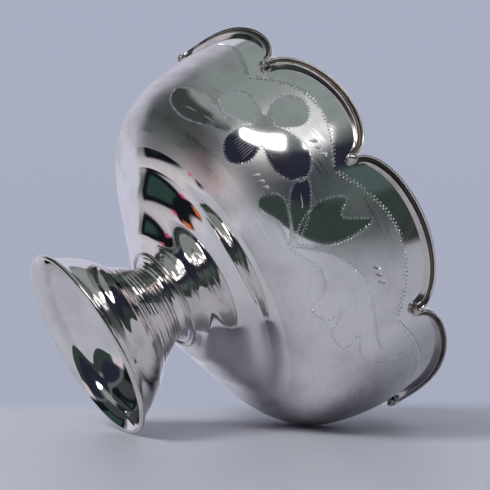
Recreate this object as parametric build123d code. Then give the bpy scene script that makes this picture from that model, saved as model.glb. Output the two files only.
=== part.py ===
from build123d import *
import math
import os

# A footed silver bowl with a scalloped rim: a spun bowl soldered to a spun, flaring foot.
# The rim is cut into eight rounded lobes. A drawn wire is soldered round the outside of
# each lobe, with a bead of solder where two wires meet in the notch between their lobes.
# Millimetres, +Z up. The origin is the centre of the circle on which the foot stands.

# Foot
FOOT_RADIUS = 25.0
FOOT_WALL = 0.8
FOOT_WIRE_RADIUS = 0.65
FOOT_WIRE_FLAT_DEPTH = 0.05
STEM_TOP_Z = 24.0

# Outside of the foot, from inside its wire up past the seat under the bowl
FOOT_PROFILE = [
    (24.45, 0.65),
    (23.6, 1.5),
    (22.6, 3.5),
    (20.8, 7.0),
    (18.7, 10.0),
    (14.6, 14.0),
    (12.4, 17.8),
    (10.4, 21.3),
    (10.6, 22.9),
    (12.2, 23.9),
    (14.2, 24.6),
]

# Bowl
BOWL_WALL = 0.8
BOWL_SEAT_RADIUS = 13.0
RIM_RADIUS = 52.7
STEM_SOLDER_RADIUS = 0.6

# Outside of the bowl, from the edge of its flat seat up past the rim
BOWL_PROFILE = [
    (BOWL_SEAT_RADIUS, STEM_TOP_Z),
    (18.8, 25.9),
    (26.9, 30.0),
    (33.0, 33.0),
    (37.6, 34.9),
    (43.0, 37.9),
    (47.2, 42.2),
    (50.2, 49.0),
    (51.9, 58.0),
    (52.5, 66.0),
    (RIM_RADIUS, 74.0),
]

# Rim
NOTCH_Z = 62.6
LOBE_HEIGHT = 8.6
RIM_TOP_Z = NOTCH_Z + LOBE_HEIGHT
WIRE_WIDTH = 1.9
WIRE_OUTER_RADIUS = 54.5
SOLDER_BEAD_RADIUS = 1.5
SOLDER_BEAD_CENTRE = 53.4
SOLDER_CUT_SIZE = 9.0

# Distances from the axis between which the rim cutters reach
CUTTER_NEAR = 40.0
CUTTER_FAR = 60.0

# Direction of each notch, in degrees from +X, which points at the middle of a lobe. The rim
# was divided by hand, so the lobes differ a little in width.
NOTCH_ANGLES = [23.2, 69.8, 106.6, 150.6, 197.2, 243.8, 290.3, 336.8]


def at(radius, height):
    """A point of the XZ plane, by its distance from the axis and its height."""
    return Vector(radius, 0, height)


def smooth_curve(profile):
    """A smooth curve through (radius, height) points of the XZ plane."""
    return Spline([at(radius, height) for radius, height in profile])


def inner_copy(profile, wall):
    """The profile moved inwards by the wall, square to itself at each point."""
    moved = []
    for index, (radius, height) in enumerate(profile):
        before = profile[max(index - 1, 0)]
        after = profile[min(index + 1, len(profile) - 1)]
        run = after[0] - before[0]
        rise = after[1] - before[1]
        length = math.hypot(run, rise)
        moved.append((radius - wall * rise / length, height + wall * run / length))
    return moved


def spun(outline):
    """A solid turned about Z from a closed outline in the XZ plane."""
    return revolve(make_face(outline), axis=Axis.Z)


def slab(low, high, radius=CUTTER_FAR):
    """A round slab about Z between two heights."""
    disc = Cylinder(radius, high - low, align=(Align.CENTER, Align.CENTER, Align.MIN))
    return disc.moved(Location((0, 0, low)))


def lobe_middles():
    """The middle direction and half the spread of each lobe, in degrees."""
    middles = []
    for index, start in enumerate(NOTCH_ANGLES):
        end = NOTCH_ANGLES[(index + 1) % len(NOTCH_ANGLES)]
        if end < start:
            end += 360
        middles.append(((start + end) / 2, (end - start) / 2))
    return middles


def half_ellipse(distance, half_width, height):
    """An upright half ellipse that stands on the notch level, facing away from the axis."""
    plane = Plane(origin=(distance, 0, NOTCH_Z), x_dir=(0, 1, 0), z_dir=(1, 0, 0))
    arch = EllipticalCenterArc((0, 0), half_width, height, arc_size=180)
    base = Line((-half_width, 0), (half_width, 0))
    return plane * make_face([arch, base])


def lobe_cutter(middle, half_spread, inset):
    """The space over one lobe: an arch that widens away from the axis with its sector."""
    slope = math.tan(math.radians(half_spread))
    near = half_ellipse(CUTTER_NEAR, CUTTER_NEAR * slope - inset, LOBE_HEIGHT - inset)
    far = half_ellipse(CUTTER_FAR, CUTTER_FAR * slope - inset, LOBE_HEIGHT - inset)
    arch = loft([near, far], ruled=True)
    return arch.rotate(Axis.Z, middle)


def make_foot_wire():
    """The round wire at the foot's edge, filed flat where it stands."""
    centre_z = FOOT_WIRE_RADIUS - FOOT_WIRE_FLAT_DEPTH
    section = Pos(FOOT_RADIUS - FOOT_WIRE_RADIUS, centre_z) * Circle(FOOT_WIRE_RADIUS)
    return revolve(Plane.XZ * section, axis=Axis.Z) & slab(0, STEM_TOP_Z)


def make_foot_shell(foot_wire):
    """The bell of the foot and its narrow stem, spun from one sheet and open below."""
    outer = smooth_curve(FOOT_PROFILE)
    inner = smooth_curve(inner_copy(FOOT_PROFILE, FOOT_WALL))
    outline = [outer, Line(outer @ 1, inner @ 1), inner, Line(inner @ 0, outer @ 0)]
    return (spun(outline) & slab(FOOT_WIRE_RADIUS, STEM_TOP_Z)) - foot_wire


def make_bowl_shell():
    """The spun bowl with its flat seat and its rim cut into rounded lobes."""
    outer = smooth_curve(BOWL_PROFILE)
    inner = smooth_curve(inner_copy(BOWL_PROFILE, BOWL_WALL))
    seat = Line(at(0, STEM_TOP_Z), outer @ 0)
    floor_edge = inner @ 0
    floor = Line(floor_edge, at(0, floor_edge.Z))
    axis_edge = Line(at(0, floor_edge.Z), at(0, STEM_TOP_Z))
    whole = spun([seat, outer, Line(outer @ 1, inner @ 1), inner, floor, axis_edge])
    keep = slab(0, NOTCH_Z)
    for middle, half_spread in lobe_middles():
        keep += lobe_cutter(middle, half_spread, 0)
    return whole & keep


def make_rim_wire(middle, half_spread, bowl_shell):
    """The wire round the outside of one lobe."""
    arch = lobe_cutter(middle, half_spread, 0) - lobe_cutter(middle, half_spread, WIRE_WIDTH)
    band = slab(0, RIM_TOP_Z, WIRE_OUTER_RADIUS) - slab(0, RIM_TOP_Z, RIM_RADIUS - BOWL_WALL / 2)
    return (arch & band) - bowl_shell


def make_rim_solder(angle, bowl_shell):
    """The bead of solder in one notch, under the ends of the two wires that meet there."""
    bead = Sphere(SOLDER_BEAD_RADIUS)
    below_notch = Box(*[SOLDER_CUT_SIZE] * 3, align=(Align.CENTER, Align.CENTER, Align.MAX))
    bead = bead & below_notch
    bead = bead.moved(Location((SOLDER_BEAD_CENTRE, 0, NOTCH_Z)))
    return bead.rotate(Axis.Z, angle) - bowl_shell


def make_stem_solder(foot_shell, bowl_shell):
    """The thin ring of solder in the corner between the flare of the stem and the bowl."""
    ring = Torus(BOWL_SEAT_RADIUS, STEM_SOLDER_RADIUS).moved(Location((0, 0, STEM_TOP_Z)))
    return ring - foot_shell - bowl_shell


def write_part(name, solid):
    """Write one piece to its own file."""
    export_step(solid, f"parts/{name}.step")


os.makedirs("parts", exist_ok=True)

foot_wire = make_foot_wire()
foot_shell = make_foot_shell(foot_wire)
bowl_shell = make_bowl_shell()
write_part("foot_wire", foot_wire)
write_part("foot_shell", foot_shell)
write_part("bowl_shell", bowl_shell)
for number, (middle, half_spread) in enumerate(lobe_middles(), start=1):
    write_part(f"rim_wire_{number}", make_rim_wire(middle, half_spread, bowl_shell))
for number, angle in enumerate(NOTCH_ANGLES, start=1):
    write_part(f"rim_solder_{number}", make_rim_solder(angle, bowl_shell))
write_part("stem_solder", make_stem_solder(foot_shell, bowl_shell))
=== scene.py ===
import bpy
import math
import numpy as np
from mathutils import Matrix, Vector
from mathutils.geometry import delaunay_2d_cdt
from mathutils.kdtree import KDTree


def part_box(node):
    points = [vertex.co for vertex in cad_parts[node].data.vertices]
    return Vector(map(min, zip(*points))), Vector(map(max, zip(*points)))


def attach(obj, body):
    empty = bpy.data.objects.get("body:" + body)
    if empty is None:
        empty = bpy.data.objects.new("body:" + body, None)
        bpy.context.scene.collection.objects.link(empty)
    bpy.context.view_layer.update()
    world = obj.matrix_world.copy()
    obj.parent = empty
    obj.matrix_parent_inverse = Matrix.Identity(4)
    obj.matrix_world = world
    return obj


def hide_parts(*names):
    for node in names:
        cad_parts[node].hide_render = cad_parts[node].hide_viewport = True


# A hand-made silver bowl on a flared foot, lying on its side. The CAD frame stands it
# upright, so the camera and the table are tilted instead of the bowl.
# Lengths in this script are millimetres until mesh vertices are made.

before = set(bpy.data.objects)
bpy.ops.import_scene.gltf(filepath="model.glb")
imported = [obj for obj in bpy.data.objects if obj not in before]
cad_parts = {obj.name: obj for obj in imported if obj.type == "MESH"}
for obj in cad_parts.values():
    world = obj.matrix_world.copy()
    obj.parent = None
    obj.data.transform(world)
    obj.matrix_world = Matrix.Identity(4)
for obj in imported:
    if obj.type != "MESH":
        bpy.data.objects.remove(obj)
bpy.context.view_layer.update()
rng = np.random.default_rng(7)

MM = 0.001

# Sizes that follow the frame
foot_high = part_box("foot_wire")[1]
bowl_low, bowl_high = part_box("bowl_shell")
FOOT_RADIUS = foot_high.x / MM
STEM_TOP_Z = bowl_low.z / MM
RIM_TOP_Z = bowl_high.z / MM
BOWL_WALL = 0.8
FOOT_WALL = 0.8

# Outside of the bowl from its seat on the stem up past the rim: (radius, height)
BOWL_SEAT_RADIUS = 13.0
BOWL_PROFILE = [
    (BOWL_SEAT_RADIUS, STEM_TOP_Z),
    (18.8, 25.9),
    (26.9, 30.0),
    (33.0, 33.0),
    (37.6, 34.9),
    (43.0, 37.9),
    (47.2, 42.2),
    (50.2, 49.0),
    (51.9, 58.0),
    (52.5, 66.0),
    (52.7, 74.0),
]
SATIN_START_RADIUS = 37.6

# Outside of the foot from its wire up to the seat
FOOT_PROFILE = [
    (24.45, 0.65),
    (23.6, 1.5),
    (22.6, 3.5),
    (20.8, 7.0),
    (18.7, 10.0),
    (14.6, 14.0),
    (12.4, 17.8),
    (10.4, 21.3),
    (10.6, 22.9),
    (12.2, 23.8),
    (13.2, STEM_TOP_Z),
]

# Scalloped rim
LOBE_HEIGHT = 8.6
NOTCH_Z = RIM_TOP_Z - LOBE_HEIGHT
NOTCH_ANGLES = [23.2, 69.8, 106.6, 150.6, 197.2, 243.8, 290.3, 336.8]
LOBE_STEPS = 64


# ---------------------------------------------------------------- curves

def natural_spline(points, count):
    """Evenly spaced points of a smooth curve through the given points."""
    pts = np.array(points, float)
    t = np.r_[0, np.cumsum(np.hypot(*np.diff(pts, axis=0).T))]
    h = np.diff(t)
    n = len(pts)
    system = np.zeros((n, n))
    right = np.zeros((n, 2))
    system[0, 0] = system[-1, -1] = 1
    for i in range(1, n - 1):
        system[i, i - 1:i + 2] = h[i - 1], 2 * (h[i - 1] + h[i]), h[i]
        right[i] = 6 * ((pts[i + 1] - pts[i]) / h[i] - (pts[i] - pts[i - 1]) / h[i - 1])
    bend = np.linalg.solve(system, right)
    where = np.linspace(0, t[-1], count)
    k = np.clip(np.searchsorted(t, where) - 1, 0, n - 2)
    a = ((t[k + 1] - where) / h[k])[:, None]
    b = 1 - a
    step = h[k][:, None] ** 2 / 6
    return a * pts[k] + b * pts[k + 1] + ((a ** 3 - a) * bend[k] + (b ** 3 - b) * bend[k + 1]) * step


class Profile:
    """A turned outline as radius, height and outward normal by distance along it."""

    def __init__(self, points, samples=6000):
        self.rz = natural_spline(points, samples)
        self.s = np.r_[0, np.cumsum(np.hypot(*np.diff(self.rz, axis=0).T))]
        slope = np.gradient(self.rz, self.s, axis=0)
        slope /= np.linalg.norm(slope, axis=1, keepdims=True)
        self.normal = np.stack([slope[:, 1], -slope[:, 0]], 1)
        self.length = self.s[-1]

    def at(self, s):
        """Radius, height and the outward normal's radial and upward parts at s."""
        s = np.asarray(s, float)
        return [np.interp(s, self.s, v) for v in (*self.rz.T, *self.normal.T)]

    def s_of_height(self, z):
        """Distance along the outline at a height."""
        return np.interp(z, self.rz[:, 1], self.s)

    def s_of_radius(self, r):
        """Distance along the outline at a radius."""
        return np.interp(r, self.rz[:, 0], self.s)


bowl_profile = Profile(BOWL_PROFILE)
foot_profile = Profile(FOOT_PROFILE)
SATIN_S = float(bowl_profile.s_of_radius(SATIN_START_RADIUS))


def lobe_spans():
    """Start and end angle of each lobe, in degrees, end above start."""
    ends = NOTCH_ANGLES[1:] + [NOTCH_ANGLES[0] + 360]
    return list(zip(NOTCH_ANGLES, ends))


def rim_height(angle, start, end):
    """Height of the rim at an angle within one lobe."""
    middle, half = (start + end) / 2, (end - start) / 2
    across = np.tan(np.radians(angle - middle)) / math.tan(math.radians(half))
    return NOTCH_Z + LOBE_HEIGHT * np.sqrt(np.clip(1 - across ** 2, 0, 1))


def rim_samples():
    """Angles round the whole rim, closer together near the notches, and heights there."""
    angles, heights = [], []
    for start, end in lobe_spans():
        middle, half = (start + end) / 2, (end - start) / 2
        angle = middle - half * np.cos(np.pi * np.arange(LOBE_STEPS) / LOBE_STEPS)
        angles.append(angle)
        heights.append(rim_height(angle, start, end))
    return np.concatenate(angles), np.concatenate(heights)


RIM_ANGLES, RIM_HEIGHTS = rim_samples()


# ---------------------------------------------------------------- meshes

def turned(s, angle, profile, inset=0.0, lift=0.0):
    """Points of a turned surface at distances s and angles in degrees."""
    r, z, nr, nz = profile.at(s)
    r = r + (lift - inset) * nr
    z = z + (lift - inset) * nz
    a = np.radians(angle)
    return np.stack([r * np.cos(a), r * np.sin(a), z + 0 * a], -1)


def turned_normals(s, angle, profile):
    """Outward normals of a turned surface at distances s and angles in degrees."""
    _, _, nr, nz = profile.at(s)
    a = np.radians(angle)
    return np.stack([nr * np.cos(a), nr * np.sin(a), nz + 0 * a], -1)


def grid_faces(rows, columns, first=0, closed=True, flip=False):
    """Quads of a grid of points, joined round the columns if closed."""
    across = columns if closed else columns - 1
    i, j = np.meshgrid(np.arange(rows - 1), np.arange(across), indexing="ij")
    a = first + i * columns + j
    b = first + i * columns + (j + 1) % columns
    quads = np.stack([a, b, b + columns, a + columns], -1).reshape(-1, 4)
    return quads[:, ::-1] if flip else quads


def grid_normals(points, closed=True):
    """Vertex normals of a grid of points whose rows run upwards and columns run round."""
    along = np.gradient(points, axis=0)
    if closed:
        around = np.roll(points, -1, 1) - np.roll(points, 1, 1)
    else:
        around = np.gradient(points, axis=1)
    n = np.cross(around, along)
    return n / np.maximum(np.linalg.norm(n, axis=-1, keepdims=True), 1e-12)


# Points that agree to this part of a metre are the same point
MERGE_PER_METRE = 1e7


class Builder:
    """Collects parts of one mesh, with a material and a normal for every corner."""

    def __init__(self):
        self.points, self.faces, self.slots, self.corner_normals = [], [], [], []
        self.count = 0

    def add(self, points, faces, slot, normals=None, flat=None):
        """flat marks faces that take their own flat normal instead of the vertex normals."""
        points = np.asarray(points, float).reshape(-1, 3)
        normals = None if normals is None else np.asarray(normals, float).reshape(-1, 3)
        slots = slot if hasattr(slot, "__len__") else [slot] * len(faces)
        for index, face in enumerate(faces):
            face = [int(v) for v in face]
            self.faces.append([v + self.count for v in face])
            self.slots.append(int(slots[index]))
            if normals is None or (flat is not None and flat[index]):
                a, b, c = points[face[0]], points[face[1]], points[face[2]]
                n = np.cross(b - a, c - a)
                n = n / max(np.linalg.norm(n), 1e-15)
                self.corner_normals += [tuple(n)] * len(face)
            else:
                self.corner_normals += [tuple(normals[v]) for v in face]
        self.points.append(points)
        self.count += len(points)

    def object(self, name, materials):
        """The collected mesh as an object, with points in the same place made one."""
        points = np.concatenate(self.points) * MM
        keys = {}
        merged = np.empty(len(points), int)
        kept = []
        for index, key in enumerate(map(tuple, np.round(points * MERGE_PER_METRE).astype(int))):
            if key not in keys:
                keys[key] = len(kept)
                kept.append(points[index])
            merged[index] = keys[key]
        faces, slots, normals = [], [], []
        corner = 0
        for face, slot in zip(self.faces, self.slots):
            own = self.corner_normals[corner:corner + len(face)]
            corner += len(face)
            ids, ns = [], []
            for v, n in zip((merged[v] for v in face), own):
                if v not in ids:
                    ids.append(int(v))
                    ns.append(n)
            if len(ids) > 2:
                faces.append(ids)
                slots.append(slot)
                normals += ns
        mesh = bpy.data.meshes.new(name)
        mesh.from_pydata([tuple(p) for p in kept], [], faces)
        for material in materials:
            mesh.materials.append(material)
        mesh.polygons.foreach_set("material_index", slots)
        mesh.polygons.foreach_set("use_smooth", [True] * len(faces))
        mesh.update()
        mesh.normals_split_custom_set(normals)
        piece = bpy.data.objects.new(name, mesh)
        bpy.context.scene.collection.objects.link(piece)
        return piece


def wobble(angle, waves, size):
    """A small smooth unevenness round a ring, the same for every run."""
    total = 0 * np.asarray(angle, float)
    for wave in waves:
        total = total + np.sin(wave * np.radians(angle) + rng.uniform(0, 2 * np.pi)) / len(waves)
    return size * total


# ---------------------------------------------------------------- engraving
# Places on the wall are (angle in degrees, millimetres up the wall from where the satin starts).

MM_PER_DEGREE = 0.87
SEAM_ANGLE = NOTCH_ANGLES[0]

# Two gravers: half the width of the zigzag, half its pitch, half the width of a cut, its depth
BORDER_GRAVER = (0.56, 0.47, 0.26, 0.23)
SHAPE_GRAVER = (0.4, 0.41, 0.21, 0.2)
WRIGGLE_SHOULDER = 0.28
WRIGGLE_REACH = 0.56
BORDER_LOW = 27.8
BORDER_RISE = 7.2
BORDER_ROUNDNESS = 1.8
OUTLINE_STEP = 0.9

# The flower: a disc with four petals. Each petal: its direction on the flat wall, how far it
# reaches from the disc's centre and its width
DISC_CENTRE = (86, 21.5)
DISC_RADIUS = 2.7
PETAL_START = 2.0
PETALS = [(185, 14.5, 7), (84, 11.5, 9), (-86, 12, 9), (-2, 16.5, 9)]
# One side of a petal: (part of its length, part of its width), base to tip
PETAL_SIDE = [(0, 0.2), (0.35, 0.46), (0.65, 0.5), (0.88, 0.32)]

SIDE_LEAF = [(52, 16), (55, 12), (66, 10.5), (81, 15), (67, 17.5), (58, 17.5)]
STALK = [(105.5, 21.5), (112, 18.5), (117.5, 12.5), (109, 14.5), (104, 18.5)]
CURLED_LEAF = [(118, 10), (111, 11), (105, 8.5), (102, 10.5), (105.5, 14.5), (112, 13)]
FORKED_LEAF = [
    (117.5, 12), (112.5, 17.5), (112, 23.5), (114.5, 27), (118, 24), (122.5, 30.5), (123.5, 22),
    (121, 15),
]
SCALLOPED_LEAF = [
    (119, 10), (127, 14), (133.5, 13.5), (138, 9), (142.5, 11.5), (141, 16), (147, 12),
    (153.5, 14), (150.5, 18), (158, 18), (163.5, 24), (162.5, 29), (156, 22.5), (137, 23),
    (126, 18.5),
]
LEAVES = [SIDE_LEAF, STALK, CURLED_LEAF, FORKED_LEAF, SCALLOPED_LEAF]

# Groups of three gouge cuts: the middle of each group, half the length of its row, where the
# cuts stand in it, half a cut's length, its width and depth, and how it slants
GOUGE_GROUPS = [(99.5, 28), (98.5, 12.5), (136, 26.5)]
GOUGE_ROW = 2.3
GOUGE_PLACES = (0.1, 0.5, 0.9)
GOUGE_REACH = 1.15
GOUGE_CUT = (1.0, 0.34)
GOUGE_SLANT = (0.55, 0.83)
# Fine shading lines in two of the petals: start and end of the first line and of the last
SHADING = [
    ((92, 18.5), (97, 17.5), (92, 22.5), (98, 24), 9),
    ((85, 17), (84, 13.5), (90, 16), (90, 12), 8),
]
SHADING_CUT = (0.16, 0.06)
# Short veins inside the leaves: start and end of each cut
VEINS = [
    ((149, 13.5), (152, 14)),
    ((61, 13), (67, 13.5)),
    ((70, 13.5), (75, 14)),
    ((107, 18.5), (111, 17)),
]
VEIN_CUT = (0.35, 0.1)
# A row of veins: the middle of the first and of the last, how many, and half of each
VEIN_ROW = ((139, 15), (143, 21), 5)
VEIN_REACH = np.array((1.6, -0.8))

# Pits that cross-hatch the disc: how many each way from its middle, their spacing, the clear
# edge, half their width and their depth
HATCH_COUNT = 5
HATCH_SPACING = 0.5
HATCH_MARGIN = 0.35
HATCH_SIZE = 0.2
HATCH_DEPTH = 0.06
DISC_STEPS = 48
BORDER_STEPS = 60
CURVE_STEPS = 24
# How uneven the two rows of a wriggle cut are
WRIGGLE_UNEVEN = 0.16


def petal_outline(direction, reach, width):
    """A petal's outline as flat points round the disc's centre."""
    along = np.array([math.cos(math.radians(direction)), math.sin(math.radians(direction))])
    across = np.array([-along[1], along[0]])
    length = reach - PETAL_START
    centre = flat_place(DISC_CENTRE)
    one, other = [], []
    for x, y in PETAL_SIDE:
        middle = centre + (PETAL_START + x * length) * along
        one.append(middle + y * width * across)
        other.append(middle - y * width * across)
    return one + [centre + reach * along] + other[::-1]


def flat_place(place):
    """A place on the wall as a flat point in millimetres."""
    return np.array([place[0] * MM_PER_DEGREE, place[1]])


def smooth_line(points, closed, step):
    """A smooth line through flat points, as evenly spaced points."""
    pts = np.array(points, float)
    n = len(pts)
    if closed:
        ring = np.r_[pts[-1:], pts, pts[:2]]
    else:
        ring = np.r_[2 * pts[:1] - pts[1:2], pts, 2 * pts[-1:] - pts[-2:-1]]
    pieces = []
    t = np.linspace(0, 1, CURVE_STEPS, endpoint=False)[:, None]
    for i in range(n if closed else n - 1):
        a, b, c, d = ring[i:i + 4]
        square = (2 * a - 5 * b + 4 * c - d) * t ** 2
        cube = (3 * b - a - 3 * c + d) * t ** 3
        pieces.append(0.5 * (2 * b + (c - a) * t + square + cube))
    fine = np.concatenate(pieces + [ring[1:2] if closed else pts[-1:]])
    along = np.r_[0, np.cumsum(np.hypot(*np.diff(fine, axis=0).T))]
    count = max(int(round(along[-1] / step / 2)) * 2, 4)
    where = np.linspace(0, along[-1], count + 1)
    line = np.stack([np.interp(where, along, fine[:, k]) for k in (0, 1)], 1)
    return line[:-1] if closed else line


class Engraving:
    """The cuts in the wall, as flat points and lines, with how deep each sunk point lies."""

    def __init__(self):
        self.points, self.edges, self.depth = [], [], {}

    def outline(self, points, closed=True):
        """A line that the wall's faces follow."""
        first = len(self.points)
        self.points += [tuple(p) for p in points]
        last = len(self.points) - 1
        self.edges += [(i, i + 1) for i in range(first, last)]
        if closed:
            self.edges.append((last, first))

    def pit(self, rim, bottoms, depth):
        """A cut with the given rim points and sunk bottom points, in flat millimetres."""
        rim = np.asarray(rim)
        seam = SEAM_ANGLE * MM_PER_DEGREE
        if rim[:, 0].min() < seam + 0.1 or rim[:, 0].max() > seam + 360 * MM_PER_DEGREE - 0.1:
            return
        self.outline(rim)
        first = len(self.points)
        for bottom in bottoms:
            self.depth[len(self.points)] = depth
            self.points.append(tuple(bottom))
        if len(bottoms) == 2:
            self.edges.append((first, first + 1))

    def gouge(self, start, end, width, depth):
        """One cut that starts sharp, widens and ends blunt."""
        start, end = np.asarray(start), np.asarray(end)
        run = end - start
        side = np.array([-run[1], run[0]]) / np.hypot(*run) * width / 2
        waist, heel = start + 0.45 * run, start + 0.85 * run
        rim = [start, waist + 0.8 * side, heel + side, end, heel - side, waist - 0.8 * side]
        self.pit(rim, [start + 0.4 * run, heel], depth)

    def wriggle(self, points, closed, graver):
        """Two rows of little cuts left by rocking a graver along a line."""
        row, step, half_width, depth = graver
        line = smooth_line(points, closed, step)
        if closed:
            line = np.r_[line, line[:1]]
        run = np.gradient(line, axis=0)
        run /= np.linalg.norm(run, axis=1, keepdims=True)
        side = np.stack([-run[:, 1], run[:, 0]], 1)
        sign = np.where(np.arange(len(line)) % 2, 1, -1)[:, None]
        uneven = 1 + WRIGGLE_UNEVEN * rng.standard_normal((len(line), 1))
        tips = line + row * sign * side * uneven
        for tip, other in zip(tips[:-1], tips[1:]):
            reach = other - tip
            length = np.hypot(*reach)
            if length < step:
                continue
            reach = reach / length
            across = np.array([-reach[1], reach[0]]) * half_width
            shoulder = tip + WRIGGLE_SHOULDER * reach
            inner = tip + WRIGGLE_REACH * length * reach
            self.pit([tip, shoulder + across, inner, shoulder - across], [shoulder], depth)


def border_height(angle, start, end):
    """How far up the wall the engraved border of one lobe runs at an angle."""
    x = (2 * angle - start - end) / (end - start)
    return BORDER_LOW + BORDER_RISE * (1 - np.abs(x) ** BORDER_ROUNDNESS)


def inside_outline(points, outline):
    """Which flat points lie inside a closed outline."""
    x, y = points[:, 0], points[:, 1]
    inside = np.zeros(len(points), bool)
    for (x0, y0), (x1, y1) in zip(outline, np.roll(outline, -1, 0)):
        crosses = (y0 > y) != (y1 > y)
        with np.errstate(divide="ignore", invalid="ignore"):
            inside ^= crosses & (x < (x1 - x0) * (y - y0) / (y1 - y0) + x0)
    return inside


def engrave_disc(cuts, polished, shift):
    """The flower's disc: its outline, the wriggle cut round it and the pits across it."""
    centre = flat_place(DISC_CENTRE) + shift
    angles = np.linspace(0, 2 * np.pi, DISC_STEPS, endpoint=False)
    ring = centre + DISC_RADIUS * np.stack([np.cos(angles), np.sin(angles)], 1)
    cuts.outline(ring)
    polished.append(ring)
    cuts.wriggle(ring[::4], True, SHAPE_GRAVER)
    corners = HATCH_SIZE * np.array([(1, 0), (0, 1), (-1, 0), (0, -1)])
    for i in range(-HATCH_COUNT, HATCH_COUNT + 1):
        for j in range(-HATCH_COUNT, HATCH_COUNT + 1):
            x, y = i * HATCH_SPACING, j * HATCH_SPACING
            if math.hypot(x, y) < DISC_RADIUS - HATCH_MARGIN:
                spot = centre + np.array([x + y, y - x]) * 0.71
                cuts.pit(spot + corners, [spot], HATCH_DEPTH)


def engrave_gouges(cuts, shift):
    """The groups of three cuts, the shading in the petals and the veins in the leaves."""
    slant = GOUGE_REACH * np.array(GOUGE_SLANT)
    for group in GOUGE_GROUPS:
        start = flat_place(group) + shift - (GOUGE_ROW, 0)
        end = flat_place(group) + shift + (GOUGE_ROW, 0)
        for along in GOUGE_PLACES:
            middle = start + along * (end - start)
            cuts.gouge(middle - slant, middle + slant, *GOUGE_CUT)
    for first_start, first_end, last_start, last_end, count in SHADING:
        for along in np.linspace(0, 1, count):
            start = (1 - along) * flat_place(first_start) + along * flat_place(last_start)
            end = (1 - along) * flat_place(first_end) + along * flat_place(last_end)
            cuts.gouge(end + shift, start + shift, *SHADING_CUT)
    for start, end in VEINS:
        cuts.gouge(flat_place(start) + shift, flat_place(end) + shift, *VEIN_CUT)
    start, end, count = VEIN_ROW
    for along in np.linspace(0, 1, count):
        middle = flat_place(start) + shift + along * (flat_place(end) - flat_place(start))
        cuts.gouge(middle + VEIN_REACH, middle - VEIN_REACH, *VEIN_CUT)


def engrave():
    """All cuts, and the outlines of the polished shapes inside them."""
    cuts = Engraving()
    polished = []
    shapes = [petal_outline(*petal) for petal in PETALS]
    shapes += [[flat_place(p) for p in leaf] for leaf in LEAVES]
    for turn in (0, 180):
        shift = np.array([turn * MM_PER_DEGREE, 0])
        for shape in shapes:
            shape = [p + shift for p in shape]
            line = smooth_line(shape, True, OUTLINE_STEP)
            cuts.outline(line)
            polished.append(line)
            cuts.wriggle(shape, True, SHAPE_GRAVER)
        engrave_disc(cuts, polished, shift)
        engrave_gouges(cuts, shift)
    for start, end in lobe_spans():
        angle = np.linspace(start, end, BORDER_STEPS)
        line = np.stack([angle * MM_PER_DEGREE, border_height(angle, start, end)], 1)
        cuts.outline(line, closed=False)
        cuts.wriggle(line[1:-1], False, BORDER_GRAVER)
    return cuts, polished


# ---------------------------------------------------------------- bowl

SATIN, POLISHED, SPUN, INSIDE, CUT = range(5)
BOWL_COLUMNS = 360
UNDERSIDE_ROWS = 320
INSIDE_ROWS = 150
INSIDE_THINNING = 120

# Points between the cuts on the flat wall: spacing round and up, and least distance to a cut
GRID_ROUND = 1.1
GRID_UP = 0.9
GRID_CLEARANCE = 0.55
SEAM_STEPS = 33

# Broad rings under the bowl: height, spacing, the radius of one crest, where they start and
# over what length they grow. Then the fine groove: depth, radius and width
RING_HEIGHT = 0.29
RING_SPACING = 10.0
RING_CREST = 27.0
RINGS_FROM = 15.0
RINGS_GROW = 3.0
GROOVE = (0.05, 33.0, 0.35)
UNDERSIDE_FADE = 5


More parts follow.
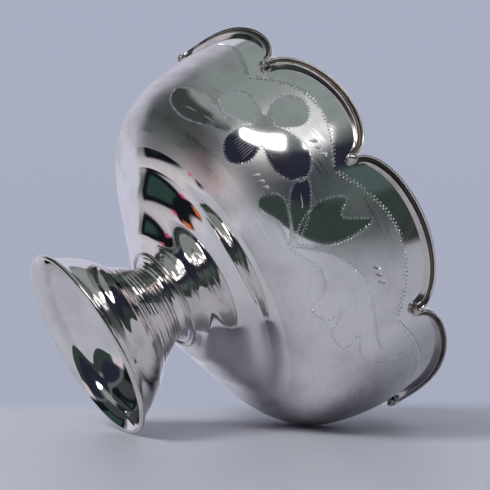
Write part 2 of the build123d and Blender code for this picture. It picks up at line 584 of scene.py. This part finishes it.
def add_engraved_wall(build):
    """The outside wall from the start of the satin up to the rim, with every cut in it."""
    cuts, polished = engrave()
    top_angles = np.r_[RIM_ANGLES, RIM_ANGLES[0] + 360]
    top = bowl_profile.s_of_height(np.r_[RIM_HEIGHTS, RIM_HEIGHTS[0]]) - SATIN_S
    low_angles = np.linspace(SEAM_ANGLE, SEAM_ANGLE + 360, BOWL_COLUMNS + 1)
    side = np.arange(1, SEAM_STEPS) / SEAM_STEPS * top[0]
    loop = [(a * MM_PER_DEGREE, 0) for a in low_angles]
    loop += [(top_angles[-1] * MM_PER_DEGREE, s) for s in side]
    loop += [(a * MM_PER_DEGREE, s) for a, s in zip(top_angles[::-1], top[::-1])]
    loop += [(top_angles[0] * MM_PER_DEGREE, s) for s in side[::-1]]
    cuts.outline(loop)
    # A light grid of points between the cuts
    tree = KDTree(len(cuts.points))
    for index, (u, v) in enumerate(cuts.points):
        tree.insert((u, v, 0), index)
    tree.balance()
    loop = np.array(loop)
    across = np.arange(loop[:, 0].min(), loop[:, 0].max(), GRID_ROUND)
    u, v = np.meshgrid(across, np.arange(GRID_UP, top.max(), GRID_UP))
    grid = np.stack([u.ravel(), v.ravel()], 1)
    grid = grid[inside_outline(grid, loop)]
    grid = [g for g in grid if tree.find((g[0], g[1], 0))[2] > GRID_CLEARANCE]
    flat = [Vector(p) for p in cuts.points] + [Vector(g) for g in grid]
    points, _, faces, sources, _, _ = delaunay_2d_cdt(flat, cuts.edges, [], 1, 1e-5)
    flat = np.array([p[:] for p in points])
    depth = np.array([max([cuts.depth.get(i, 0) for i in own], default=0) for own in sources])
    angle, s = flat[:, 0] / MM_PER_DEGREE, flat[:, 1] + SATIN_S
    middles = np.array([flat[list(f)].mean(0) for f in faces])
    slots = np.full(len(faces), SATIN)
    for outline in polished:
        slots[inside_outline(middles, np.array(outline))] = POLISHED
    middle_angle = middles[:, 0] / MM_PER_DEGREE
    for start, end in lobe_spans():
        here = (middle_angle >= start) & (middle_angle < end)
        slots[here & (middles[:, 1] > border_height(middle_angle, start, end))] = POLISHED
    cut = [any(depth[i] > 0 for i in f) for f in faces]
    slots[cut] = CUT
    wall = turned(s, angle, bowl_profile, inset=depth)
    build.add(wall, faces, slots, turned_normals(s, angle, bowl_profile), cut)


def underside_swell(s):
    """How far the spun underside stands off its smooth profile: broad rings and a groove."""
    radius = bowl_profile.at(s)[0]
    start = np.clip((radius - RINGS_FROM) / RINGS_GROW, 0, 1)
    rings = RING_HEIGHT * start * np.cos(2 * np.pi * (radius - RING_CREST) / RING_SPACING)
    depth, middle, width = GROOVE
    return rings - depth * np.exp(-((radius - middle) / width) ** 2)


def add_underside(build):
    """The polished turned underside, from the seat on the stem to the start of the satin."""
    s = np.linspace(0, SATIN_S, UNDERSIDE_ROWS)[:, None]
    angle = np.linspace(SEAM_ANGLE, SEAM_ANGLE + 360, BOWL_COLUMNS + 1)[None, :-1]
    lift = underside_swell(s) * np.clip((SATIN_S - s) / UNDERSIDE_FADE, 0, 1)
    points = turned(s + 0 * angle, angle + 0 * s, bowl_profile, lift=lift + 0 * angle)
    build.add(points, grid_faces(*points.shape[:2]), SPUN, grid_normals(points))
    middle = [(0, 0, STEM_TOP_Z)]
    ring = points[0]
    faces = [(0, 1 + (j + 1) % BOWL_COLUMNS, 1 + j) for j in range(BOWL_COLUMNS)]
    build.add(np.r_[middle, ring], faces, SPUN, np.tile((0, 0, -1.0), (len(ring) + 1, 1)))


def add_inside(build):
    """The inside of the bowl, its floor, and the thin edge of the sheet round the rim."""
    inner = bowl_profile.rz - BOWL_WALL * bowl_profile.normal
    inner_profile = Profile(inner[::INSIDE_THINNING])
    top = inner_profile.s_of_height(RIM_HEIGHTS)[None, :]
    rows = np.linspace(0, 1, INSIDE_ROWS)[:, None]
    s = rows * top
    angle = RIM_ANGLES[None, :] + 0 * s
    points = turned(s, angle, inner_profile)
    normals = -turned_normals(s, angle, inner_profile)
    build.add(points, grid_faces(*points.shape[:2], flip=True), INSIDE, normals)
    ring = points[0]
    count = len(ring)
    faces = [(0, 1 + j, 1 + (j + 1) % count) for j in range(count)]
    floor = np.r_[[(0, 0, ring[0, 2])], ring]
    build.add(floor, faces, INSIDE, np.tile((0, 0, 1.0), (count + 1, 1)))
    outside = turned(bowl_profile.s_of_height(RIM_HEIGHTS), RIM_ANGLES, bowl_profile)
    edge = np.stack([outside, points[-1]])
    build.add(edge, grid_faces(2, count), POLISHED)


def make_bowl(materials):
    """The whole bowl, with one material for each of the five finishes."""
    build = Builder()
    add_engraved_wall(build)
    add_underside(build)
    add_inside(build)
    return build.object("bowl", materials)


# ---------------------------------------------------------------- rim wires and solder

# The drawn wire's section: a bead on the rim's edge, a wide channel, a thin bead on the wall.
# (across the wire from the rim's edge, height off the wall)
REED_SECTION = [
    (0.0, -0.1), (0.0, 0.8), (0.02, 1.3), (0.14, 1.62), (0.34, 1.76), (0.54, 1.66), (0.66, 1.4),
    (0.72, 1.12), (0.82, 0.92), (1.0, 0.84), (1.25, 0.82), (1.42, 0.86), (1.5, 0.98), (1.6, 1.1),
    (1.72, 1.12), (1.84, 1.02), (1.9, 0.8), (1.9, -0.1),
]
SECTION_STEP = 0.07
# Across the wire, the darker channel lies between these, and above the least height
CHANNEL_FROM = 0.66
CHANNEL_TO = 1.48
CHANNEL_ABOVE = 0.5
WIRE_STEPS = 120
WIRE_UNEVEN = 0.02
# The two wires in a notch are cut level, just below it
MITRE_DROP = 0.05


def make_rim_wire(number, start, end, materials):
    """The reeded wire round one lobe: the section swept along the lobe's edge."""
    middle, half = (start + end) / 2, (end - start) / 2
    angle = middle - half * np.cos(np.pi * np.arange(WIRE_STEPS + 1) / WIRE_STEPS)
    height = rim_height(angle, start, end)
    s = bowl_profile.s_of_height(height)
    path = turned(s, angle, bowl_profile)
    out = turned_normals(s, angle, bowl_profile)
    run = np.gradient(path, axis=0)
    run[0], run[-1] = (0, 0, 1), (0, 0, -1)
    run /= np.linalg.norm(run, axis=1, keepdims=True)
    across = np.cross(run, out)
    across /= np.linalg.norm(across, axis=1, keepdims=True)
    section = smooth_line(REED_SECTION, False, SECTION_STEP)
    uneven = 1 + wobble(angle, (5, 11, 17, 29), WIRE_UNEVEN)[:, None, None]
    sideways = across[:, None] * section[None, :, :1]
    outwards = out[:, None] * section[None, :, 1:] * uneven
    points = path[:, None] + sideways + outwards
    points[..., 2] = np.maximum(points[..., 2], NOTCH_Z - MITRE_DROP)
    build = Builder()
    rows, columns = points.shape[:2]
    normals = grid_normals(points, closed=False)
    faces = grid_faces(rows, columns, closed=False)
    reach, lift = section[faces[:, 0] % columns].T
    sunk = (reach > CHANNEL_FROM) & (reach < CHANNEL_TO) & (lift > CHANNEL_ABOVE)
    build.add(points, faces, sunk.astype(int), normals)
    down = np.tile((0, 0, -1.0), (columns, 1))
    build.add(points[0], [list(range(columns))[::-1]], 0, down)
    build.add(points[-1], [list(range(columns))], 0, down)
    bottom = points[:, [-1, 0]]
    build.add(bottom, grid_faces(rows, 2, closed=False), 0)
    return build.object(f"reeded_wire_{number}", materials)


LUMP_WAVES = 9
LUMP_WAVE_HEIGHT = 0.05
LUMP_WAVE_SCALE = 3.2


def make_lump(name, centre, size, turn, material, seed):
    """An uneven lump of solder, turned about the axis by an angle in degrees."""
    local = np.random.default_rng(seed)
    lat = np.linspace(-np.pi / 2, np.pi / 2, 25)[:, None]
    lon = np.linspace(0, 2 * np.pi, 37)[None, :-1]
    width = np.cos(lat)
    shape = np.stack([width * np.cos(lon), width * np.sin(lon), np.sin(lat) + 0 * lon], -1)
    lift = np.ones(shape.shape[:2])
    for _ in range(LUMP_WAVES):
        direction = local.standard_normal(3)
        phase = local.uniform(0, 6)
        lift += LUMP_WAVE_HEIGHT * np.sin(shape @ direction * LUMP_WAVE_SCALE + phase)
    points = shape * lift[..., None] * size
    a = math.radians(turn)
    turning = np.array([[math.cos(a), -math.sin(a), 0], [math.sin(a), math.cos(a), 0], [0, 0, 1]])
    points = points @ turning.T + centre
    build = Builder()
    build.add(points, grid_faces(*points.shape[:2]), 0, grid_normals(points))
    return build.object(name, [material])


# ---------------------------------------------------------------- foot

FOOT_COLUMNS = 288
FOOT_ROWS = 420

# Ridges on the stem: where they start as a part of the foot's outline, the clear length at
# the top, and the least and most of their height, width and spacing
RIDGES_FROM = 0.42
RIDGES_CLEAR = 1.0
RIDGE_HEIGHT = (0.05, 0.17)
RIDGE_WIDTH = (0.28, 0.6)
RIDGE_SPACING = (0.9, 2.3)
FOOT_SWAY = 0.06
# Swells inside the foot: height, distance from the edge, width
HOLLOW_SWELLS = [(-0.22, 4.6, 1.3), (0.1, 8.0, 2.0)]


def foot_ridges(s):
    """Height of the ridges that the spinning tool left on the stem, unevenly spaced."""
    length = foot_profile.length
    lift = 0 * s
    place = RIDGES_FROM * length
    while place < length - RIDGES_CLEAR:
        height = rng.uniform(*RIDGE_HEIGHT)
        lift = lift + height * np.exp(-((s - place) / rng.uniform(*RIDGE_WIDTH)) ** 2)
        place += rng.uniform(*RIDGE_SPACING)
    return lift


def make_foot(materials):
    """The flared foot and its stem, outside and inside."""
    length = foot_profile.length
    angle = np.linspace(0, 360, FOOT_COLUMNS, endpoint=False)[None, :]
    s = np.linspace(0, length, FOOT_ROWS)[:, None]
    lift = foot_ridges(s) * np.clip(s / 2, 0, 1) * np.clip((length - s) / 1.2, 0, 1)
    sway = wobble(angle, (2, 3, 5), FOOT_SWAY) * np.clip(s / 4, 0, 1)
    hollow = sum(h * np.exp(-((s - place) / width) ** 2) for h, place, width in HOLLOW_SWELLS)
    inset = FOOT_WALL + hollow + 0 * angle
    s, angle = s + 0 * angle, angle + 0 * s
    outer = turned(s, angle, foot_profile, lift=lift + sway)
    inner = turned(s, angle, foot_profile, inset=inset)
    build = Builder()
    build.add(outer, grid_faces(*outer.shape[:2]), 0, grid_normals(outer))
    build.add(inner, grid_faces(*inner.shape[:2], flip=True), 1, -grid_normals(inner))
    build.add(np.stack([inner[0], outer[0]]), grid_faces(2, FOOT_COLUMNS), 0)
    build.add(np.stack([outer[-1], inner[-1]]), grid_faces(2, FOOT_COLUMNS), 0)
    return build.object("foot", materials)


RING_UNEVEN = 0.05


def make_ring(name, radius, section, height, material, wave):
    """A ring about the axis with a closed section, a little uneven along its length."""
    angle = np.radians(np.linspace(0, 360, FOOT_COLUMNS, endpoint=False))[None, :]
    size = 1 + wobble(np.degrees(angle), wave, RING_UNEVEN)
    r = radius + section[:, :1] * size
    z = height + section[:, 1:] * size
    points = np.stack([r * np.cos(angle), r * np.sin(angle), z + 0 * angle], -1)
    points = np.concatenate([points, points[:1]])
    build = Builder()
    normals = grid_normals(points)
    normals[0] = normals[-1] = normals[0] + normals[-1]
    normals[0] /= np.linalg.norm(normals[0], axis=-1, keepdims=True)
    normals[-1] = normals[0]
    build.add(points, grid_faces(*points.shape[:2]), 0, normals)
    return build.object(name, [material])


# ---------------------------------------------------------------- materials

def tone(red, green, blue):
    """A colour given as 0-255 screen values, as linear light."""
    out = []
    for value in (red, green, blue):
        value = value / 255
        out.append(value / 12.92 if value <= 0.04045 else ((value + 0.055) / 1.055) ** 2.4)
    return (*out, 1.0)


class Nodes:
    """Short ways to add and join the nodes of one tree."""

    def __init__(self, tree):
        self.tree = tree

    def add(self, kind, **settings):
        node = self.tree.nodes.new(kind)
        for key, value in settings.items():
            setattr(node, key, value)
        return node

    def join(self, value, socket):
        if isinstance(value, bpy.types.NodeSocket):
            self.tree.links.new(value, socket)
        else:
            socket.default_value = value

    def math(self, operation, *values, clamp=False):
        node = self.add("ShaderNodeMath", operation=operation, use_clamp=clamp)
        for value, socket in zip(values, node.inputs):
            self.join(value, socket)
        return node.outputs[0]

    def vector(self, operation, *values, output=0):
        node = self.add("ShaderNodeVectorMath", operation=operation)
        for value, socket in zip(values, node.inputs):
            self.join(value, socket)
        return node.outputs[output]

    def smooth(self, value, low, high, start=0.0, end=1.0):
        node = self.add("ShaderNodeMapRange", interpolation_type="SMOOTHSTEP")
        for item, socket in zip((value, low, high, start, end), node.inputs):
            self.join(item, socket)
        return node.outputs[0]

    def linear(self, value, low, high, start=0.0, end=1.0):
        node = self.add("ShaderNodeMapRange")
        for item, socket in zip((value, low, high, start, end), node.inputs):
            self.join(item, socket)
        return node.outputs[0]

    def noise(self, place, scale, detail=2.0, roughness=0.5):
        node = self.add("ShaderNodeTexNoise")
        self.join(place, node.inputs["Vector"])
        node.inputs["Scale"].default_value = scale
        node.inputs["Detail"].default_value = detail
        node.inputs["Roughness"].default_value = roughness
        return node.outputs[0]

    def mix(self, factor, a, b):
        node = self.add("ShaderNodeMix", data_type="RGBA")
        self.join(factor, node.inputs[0])
        self.join(a, node.inputs[6])
        self.join(b, node.inputs[7])
        return node.outputs[2]

    def bump(self, height, strength, distance, normal=None):
        node = self.add("ShaderNodeBump")
        node.inputs["Strength"].default_value = strength
        node.inputs["Distance"].default_value = distance
        self.join(height, node.inputs["Height"])
        if normal is not None:
            self.join(normal, node.inputs["Normal"])
        return node.outputs[0]

    def combine(self, x, y, z):
        node = self.add("ShaderNodeCombineXYZ")
        for value, socket in zip((x, y, z), node.inputs):
            self.join(value, socket)
        return node.outputs[0]


# Noise on the silver: for the fine and the broad streaks, its scale per radian round the axis
# and per metre across, then the scale of stains, grains and the swell of the polish
FINE_STREAKS = (4.5, 2400)
BROAD_STREAKS = (1.6, 900)
SPOT_SCALE = 90
GRAIN_SCALE = 450
SWELL_SCALE = 42
NOISE_RANGE = (0.3, 0.7)
BRUSH_DEPTH = 0.0000045
GRAIN_DEPTH = 0.00002


def streaks_round_axis(n, place, scale, detail):
    """Noise that is long in the turning direction and fine across it."""
    split = n.add("ShaderNodeSeparateXYZ")
    n.join(place, split.inputs[0])
    x, y, z = split.outputs
    turn = n.math("ARCTAN2", y, x)
    squares = n.math("ADD", n.math("MULTIPLY", x, x), n.math("MULTIPLY", y, y))
    radius = n.math("SQRT", squares)
    around, across = scale
    stretched = n.combine(
        n.math("MULTIPLY", turn, around),
        n.math("MULTIPLY", radius, across),
        n.math("MULTIPLY", z, across),
    )
    return n.noise(stretched, 1.0, detail)


def metal(name, colour, tarnish, roughness, brush=0.0, wave=0.0, anisotropic=0.0, patchy=0.25):
    """Silver with streaks left by turning, fine scratches and slight tarnish.

    brush is how strong the streaks round the axis are, and wave how uneven the polish is.
    """
    material = bpy.data.materials.new(name)
    material.use_nodes = True
    tree = material.node_tree
    tree.nodes.clear()
    n = Nodes(tree)
    shader = n.add("ShaderNodeBsdfPrincipled")
    output = n.add("ShaderNodeOutputMaterial")
    tree.links.new(shader.outputs[0], output.inputs[0])
    place = n.add("ShaderNodeTexCoord").outputs["Object"]
    streaks = streaks_round_axis(n, place, FINE_STREAKS, 1)
    broad = streaks_round_axis(n, place, BROAD_STREAKS, 2)
    spots = n.noise(place, SPOT_SCALE, 4, 0.6)
    grains = n.noise(place, GRAIN_SCALE, 1, 0.5)
    swell = n.noise(place, SWELL_SCALE, 1, 0.4)
    # Colour: a little darker where the surface has tarnished
    stain = n.math("MULTIPLY", n.smooth(spots, 0.45, 0.72), patchy)
    n.join(n.mix(stain, tone(*colour), tone(*tarnish)), shader.inputs["Base Color"])
    # Roughness: patchy, with the streaks in it
    rough = n.linear(spots, *NOISE_RANGE, roughness * 0.85, roughness * 1.2)
    for pattern, part in ((broad, 0.12), (streaks, 0.1)):
        reach = part * roughness * brush
        rough = n.math("ADD", rough, n.linear(pattern, *NOISE_RANGE, -reach, reach), clamp=True)
    n.join(rough, shader.inputs["Roughness"])
    normal = n.bump(swell, 1.0, wave)
    normal = n.bump(grains, 0.04, GRAIN_DEPTH, normal)
    if brush:
        normal = n.bump(broad, 1.0, BRUSH_DEPTH * brush, normal)
    n.join(normal, shader.inputs["Normal"])
    shader.inputs["Metallic"].default_value = 1.0
    shader.inputs["Anisotropic"].default_value = anisotropic
    shader.inputs["Anisotropic Rotation"].default_value = 0.25
    if anisotropic:
        tangent = n.add("ShaderNodeTangent", direction_type="RADIAL", axis="Z")
        n.join(tangent.outputs[0], shader.inputs["Tangent"])
    return material


SILVER = (250, 245, 243)
STAIN = (176, 170, 164)
CUT_SILVER = (255, 253, 251)
CUT_STAIN = (224, 218, 212)
WIRE_SILVER = (236, 230, 226)
WIRE_STAIN = (132, 118, 108)
CHANNEL_SILVER = (120, 108, 102)
CHANNEL_STAIN = (52, 44, 40)
SOLDER = (222, 216, 208)
SOLDER_STAIN = (120, 110, 100)

satin = metal("satin_silver", SILVER, STAIN, 0.31, brush=1.0, wave=0.00003, anisotropic=0.8)
polished = metal("polished_silver", SILVER, STAIN, 0.08, wave=0.00008)
cut_silver = metal("cut_silver", CUT_SILVER, CUT_STAIN, 0.16, wave=0.00003, patchy=0.3)
turned_silver = metal("turned_silver", SILVER, STAIN, 0.05, brush=0.08, wave=0.00012)
inside_silver = metal("inside_silver", SILVER, STAIN, 0.22, brush=0.6, wave=0.0001, anisotropic=0.3)
foot_silver = metal("foot_silver", SILVER, STAIN, 0.05, brush=0.1, wave=0.0001)
wire_silver = metal("wire_silver", WIRE_SILVER, WIRE_STAIN, 0.13, wave=0.00006, patchy=0.4)
channel_silver = metal("channel_silver", CHANNEL_SILVER, CHANNEL_STAIN, 0.3, wave=0.00006, patchy=0.7)
solder_silver = metal("solder_silver", SOLDER, SOLDER_STAIN, 0.22, wave=0.0002, patchy=0.5)

# ---------------------------------------------------------------- pieces

FOOT_WIRE_RADIUS = 0.65
FOOT_WIRE_SECTION = 0.62
FOOT_WIRE_FLAT = 0.6
FOOT_WIRE_HEIGHT = 0.61
FILLET_RADIUS = 0.55
SECTION_STEPS = 40
LUMP_SIZE = (1.0, 1.25, 1.15)
LUMP_RADIUS = 53.2
LUMP_DROP = 0.5


def place(piece, slot, *nodes):
    """Put a piece on the frame in the place of CAD nodes."""
    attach(piece, "root")
    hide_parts(*nodes)


bowl = make_bowl([satin, polished, turned_silver, inside_silver, cut_silver])
place(bowl, "bowl_silver", "bowl_shell")
place(make_foot([foot_silver, foot_silver]), "foot_silver", "foot_shell")

turns = np.linspace(0, 2 * np.pi, SECTION_STEPS, endpoint=False)
unit_circle = np.stack([np.cos(turns), np.sin(turns)], 1)
wire_section = FOOT_WIRE_SECTION * unit_circle
wire_section[:, 1] = np.maximum(wire_section[:, 1], -FOOT_WIRE_FLAT)
wire_radius = FOOT_RADIUS - FOOT_WIRE_RADIUS
foot_ring = make_ring(
    "foot_edge_wire", wire_radius, wire_section, FOOT_WIRE_HEIGHT, wire_silver, (3, 7, 12)
)
place(foot_ring, "wire_silver", "foot_wire")

fillet_section = FILLET_RADIUS * unit_circle
fillet = make_ring(
    "stem_solder_ring", BOWL_SEAT_RADIUS, fillet_section, STEM_TOP_Z, solder_silver, (2, 5, 9, 14)
)
place(fillet, "solder_silver", "stem_solder")

for index, (start, end) in enumerate(lobe_spans()):
    number = index + 1
    wire = make_rim_wire(number, start, end, [wire_silver, channel_silver])
    place(wire, "wire_silver", f"rim_wire_{number}")
    a = math.radians(start)
    x, y = LUMP_RADIUS * math.cos(a), LUMP_RADIUS * math.sin(a)
    centre = np.array([x, y, NOTCH_Z - LUMP_DROP])
    lump = make_lump(f"notch_solder_{number}", centre, LUMP_SIZE, start, solder_silver, index)
    place(lump, "solder_silver", f"rim_solder_{number}")

# ---------------------------------------------------------------- camera
# The camera looks slightly up at the bowl, which rests on its foot wire and its belly.

CAMERA_AZIMUTH = math.radians(113.9)
CAMERA_ELEVATION = math.radians(-23.3)
CAMERA_ROLL = math.radians(60.1)
CAMERA_DISTANCE = 340.0
CAMERA_AIM = Vector((1.7, 0.7, 50.9))
SENSOR_MM = 36.0
LENS_MM = 95.4

back = Vector((
    math.cos(CAMERA_ELEVATION) * math.cos(CAMERA_AZIMUTH),
    math.cos(CAMERA_ELEVATION) * math.sin(CAMERA_AZIMUTH),
    math.sin(CAMERA_ELEVATION),
))
level_right = Vector((0, 0, 1)).cross(back).normalized()
level_up = back.cross(level_right)
right = math.cos(CAMERA_ROLL) * level_right + math.sin(CAMERA_ROLL) * level_up
up = back.cross(right)
camera_data = bpy.data.cameras.new("camera")
camera_data.lens = LENS_MM
camera_data.sensor_width = SENSOR_MM
camera_data.clip_start = 0.01
camera = bpy.data.objects.new("camera", camera_data)
rotation = Matrix((right, up, back)).transposed()
stand = (CAMERA_AIM + CAMERA_DISTANCE * back) * MM
camera.matrix_world = Matrix.Translation(stand) @ rotation.to_4x4()
bpy.context.scene.collection.objects.link(camera)
bpy.context.scene.camera = camera

# ---------------------------------------------------------------- table

# The bowl rests on its foot wire at REST_ANGLE, with its axis leaning towards the table
LEAN = math.radians(28)
REST_ANGLE = math.radians(214.9)
# The table in metres from where the foot touches: to the back, the faded strip there, to
# the front and to each side
TABLE_BACK = 0.1
TABLE_FADE = 0.045
TABLE_FRONT = 0.24
TABLE_HALF = 0.26
TABLE_PALE = (213, 215, 226)
TABLE_DARK = (208, 210, 222)

outwards = Vector((math.cos(REST_ANGLE), math.sin(REST_ANGLE), 0))
table_up = Vector((0, 0, math.sin(LEAN))) - math.cos(LEAN) * outwards
touch = FOOT_RADIUS * MM * outwards
away = (-back - (-back).dot(table_up) * table_up).normalized()
aside = away.cross(table_up).normalized()


def make_sheet_object(name, corners, material):
    """A flat sheet of the stage."""
    mesh = bpy.data.meshes.new(name)
    mesh.from_pydata([tuple(c) for c in corners], [], [(0, 1, 2, 3)])
    mesh.materials.append(material)
    thing = bpy.data.objects.new(name, mesh)
    bpy.context.scene.collection.objects.link(thing)
    return thing


def table_material():
    """Pale smooth paper that can't be seen from below."""
    material = bpy.data.materials.new("pale_table")
    material.use_nodes = True
    tree = material.node_tree
    tree.nodes.clear()
    n = Nodes(tree)
    shader = n.add("ShaderNodeBsdfPrincipled")
    place = n.add("ShaderNodeTexCoord").outputs["Object"]
    grain = n.noise(place, 700, 3)
    shade = n.mix(n.linear(grain, *NOISE_RANGE), tone(*TABLE_DARK), tone(*TABLE_PALE))
    n.join(shade, shader.inputs["Base Color"])
    n.join(n.bump(grain, 0.1, 0.0001), shader.inputs["Normal"])
    shader.inputs["Roughness"].default_value = 0.45
    clear = n.add("ShaderNodeBsdfTransparent")
    side = n.add("ShaderNodeNewGeometry").outputs["Backfacing"]
    reach = n.vector("DOT_PRODUCT", place, away, output=1)
    edge = touch.dot(away) + TABLE_BACK
    side = n.math("MAXIMUM", side, n.smooth(reach, edge - TABLE_FADE, edge))
    both = n.add("ShaderNodeMixShader")
    n.join(side, both.inputs[0])
    n.join(shader.outputs[0], both.inputs[1])
    n.join(clear.outputs[0], both.inputs[2])
    output = n.add("ShaderNodeOutputMaterial")
    n.join(both.outputs[0], output.inputs[0])
    return material


corners = [
    touch - TABLE_HALF * aside - TABLE_FRONT * away,
    touch + TABLE_HALF * aside - TABLE_FRONT * away,
    touch + TABLE_HALF * aside + TABLE_BACK * away,
    touch - TABLE_HALF * aside + TABLE_BACK * away,
]
if (corners[1] - corners[0]).cross(corners[3] - corners[0]).dot(table_up) < 0:
    corners.reverse()
make_sheet_object("table", corners, table_material())

# ---------------------------------------------------------------- light

# What surrounds the bowl. Each patch: from and to degrees round from the camera's side to
# the right, from and to degrees up, softness in degrees, colour, strength
SURROUNDINGS = [
    (-180, 180, 48, 91, 8, (134, 145, 146), 1.0),
    (132, 228, -60, 46, 6, (188, 190, 206), 1.1),
    (-62, 60, -14, 17, 5, (50, 62, 60), 1.0),
    (16, 66, 14, 31, 5, (74, 91, 90), 1.0),
    (-66, 18, 10, 42, 5, (38, 40, 56), 1.0),
    (16, 62, 29, 42, 5, (38, 40, 54), 1.0),
    (58, 98, -12, 50, 6, (46, 50, 52), 1.0),
    (-126, -74, -2, 27, 3, (18, 22, 26), 1.0),
    (-94, -76, -9, 4, 3, (18, 22, 26), 1.0),
    (-120, -92, 4, 20, 4, (44, 66, 62), 1.0),
    (-89, -80, -11, -6, 2, (196, 104, 56), 1.0),
    (-97, -92, -5, -1, 1, (190, 70, 120), 1.0),
    (-140, -72, 25, 50, 5, (60, 64, 66), 1.0),
    (-76, -54, -30, 8, 6, (188, 182, 190), 1.1),
    (102, 133, -34, 6, 5, (204, 202, 208), 1.2),
    (66, 72, 20, 28, 2, (255, 255, 255), 2.5),
    (80, 84, 30, 36, 2, (255, 255, 255), 2.5),
    (-40, -2, 43, 50, 6, (255, 255, 255), 7.0),
    (12, 26, 43, 51, 3, (255, 255, 255), 4.5),
]
LOW_COLOUR = (196, 193, 200)
HIGH_COLOUR = (88, 96, 98)
BACKDROP_LOW = (166, 172, 190)
BACKDROP_HIGH = (170, 176, 195)


# The softbox over the table: size in metres, power, distance, and its direction in the same
# degrees as the patches
KEY_SIZE = 0.3
KEY_WATTS = 2.9
KEY_DISTANCE = 0.8
KEY_AZIMUTH = -55
KEY_ELEVATION = 48


def make_surroundings():
    """The world: soft patches for the silver to reflect, and a plain backdrop behind it."""
    world = bpy.data.worlds.new("studio")
    bpy.context.scene.world = world
    world.use_nodes = True
    tree = world.node_tree
    tree.nodes.clear()
    n = Nodes(tree)
    direction = n.add("ShaderNodeTexCoord").outputs["Generated"]
    sideways = n.vector("DOT_PRODUCT", direction, aside, output=1)
    towards = n.vector("DOT_PRODUCT", direction, -away, output=1)
    upwards = n.vector("DOT_PRODUCT", direction, table_up, output=1)
    azimuth = n.math("DEGREES", n.math("ARCTAN2", sideways, towards))
    elevation = n.math("DEGREES", n.math("ARCSINE", upwards))
    colour = n.mix(n.smooth(elevation, -12, 12), tone(*LOW_COLOUR), tone(*HIGH_COLOUR))
    for left, to_right, low, high, soft, rgb, strength in SURROUNDINGS:
        half = (to_right - left) / 2
        middle = (to_right + left) / 2
        turned_by = n.math("SUBTRACT", azimuth, float(middle))
        off = n.math("ABSOLUTE", n.math("WRAP", turned_by, 180.0, -180.0))
        mask = n.smooth(off, half - soft / 2, half + soft / 2, 1.0, 0.0)
        above = n.smooth(elevation, low - soft / 2, low + soft / 2)
        below = n.smooth(elevation, high - soft / 2, high + soft / 2, 1.0, 0.0)
        mask = n.math("MULTIPLY", n.math("MULTIPLY", mask, above), below)
        own = [strength * c for c in tone(*rgb)[:3]] + [1.0]
        colour = n.mix(mask, colour, own)
    backdrop = n.mix(n.smooth(elevation, -10, 20), tone(*BACKDROP_LOW), tone(*BACKDROP_HIGH))
    seen = n.add("ShaderNodeLightPath").outputs["Is Camera Ray"]
    colour = n.mix(seen, colour, backdrop)
    background = n.add("ShaderNodeBackground")
    n.join(colour, background.inputs["Color"])
    output = n.add("ShaderNodeOutputWorld")
    n.join(background.outputs[0], output.inputs[0])


def make_key_light():
    """The softbox's light on the table; its own reflection is one of the patches above."""
    data = bpy.data.lights.new("key", "AREA")
    data.shape = "DISK"
    data.size = KEY_SIZE
    data.energy = KEY_WATTS
    light = bpy.data.objects.new("key", data)
    light.visible_glossy = False
    azimuth, elevation = math.radians(KEY_AZIMUTH), math.radians(KEY_ELEVATION)
    level = math.sin(azimuth) * aside - math.cos(azimuth) * away
    towards = math.cos(elevation) * level + math.sin(elevation) * table_up
    light.location = touch + KEY_DISTANCE * towards
    light.rotation_euler = towards.to_track_quat("Z", "Y").to_euler()
    bpy.context.scene.collection.objects.link(light)


make_surroundings()
make_key_light()
bpy.context.scene.view_settings.view_transform = "Standard"
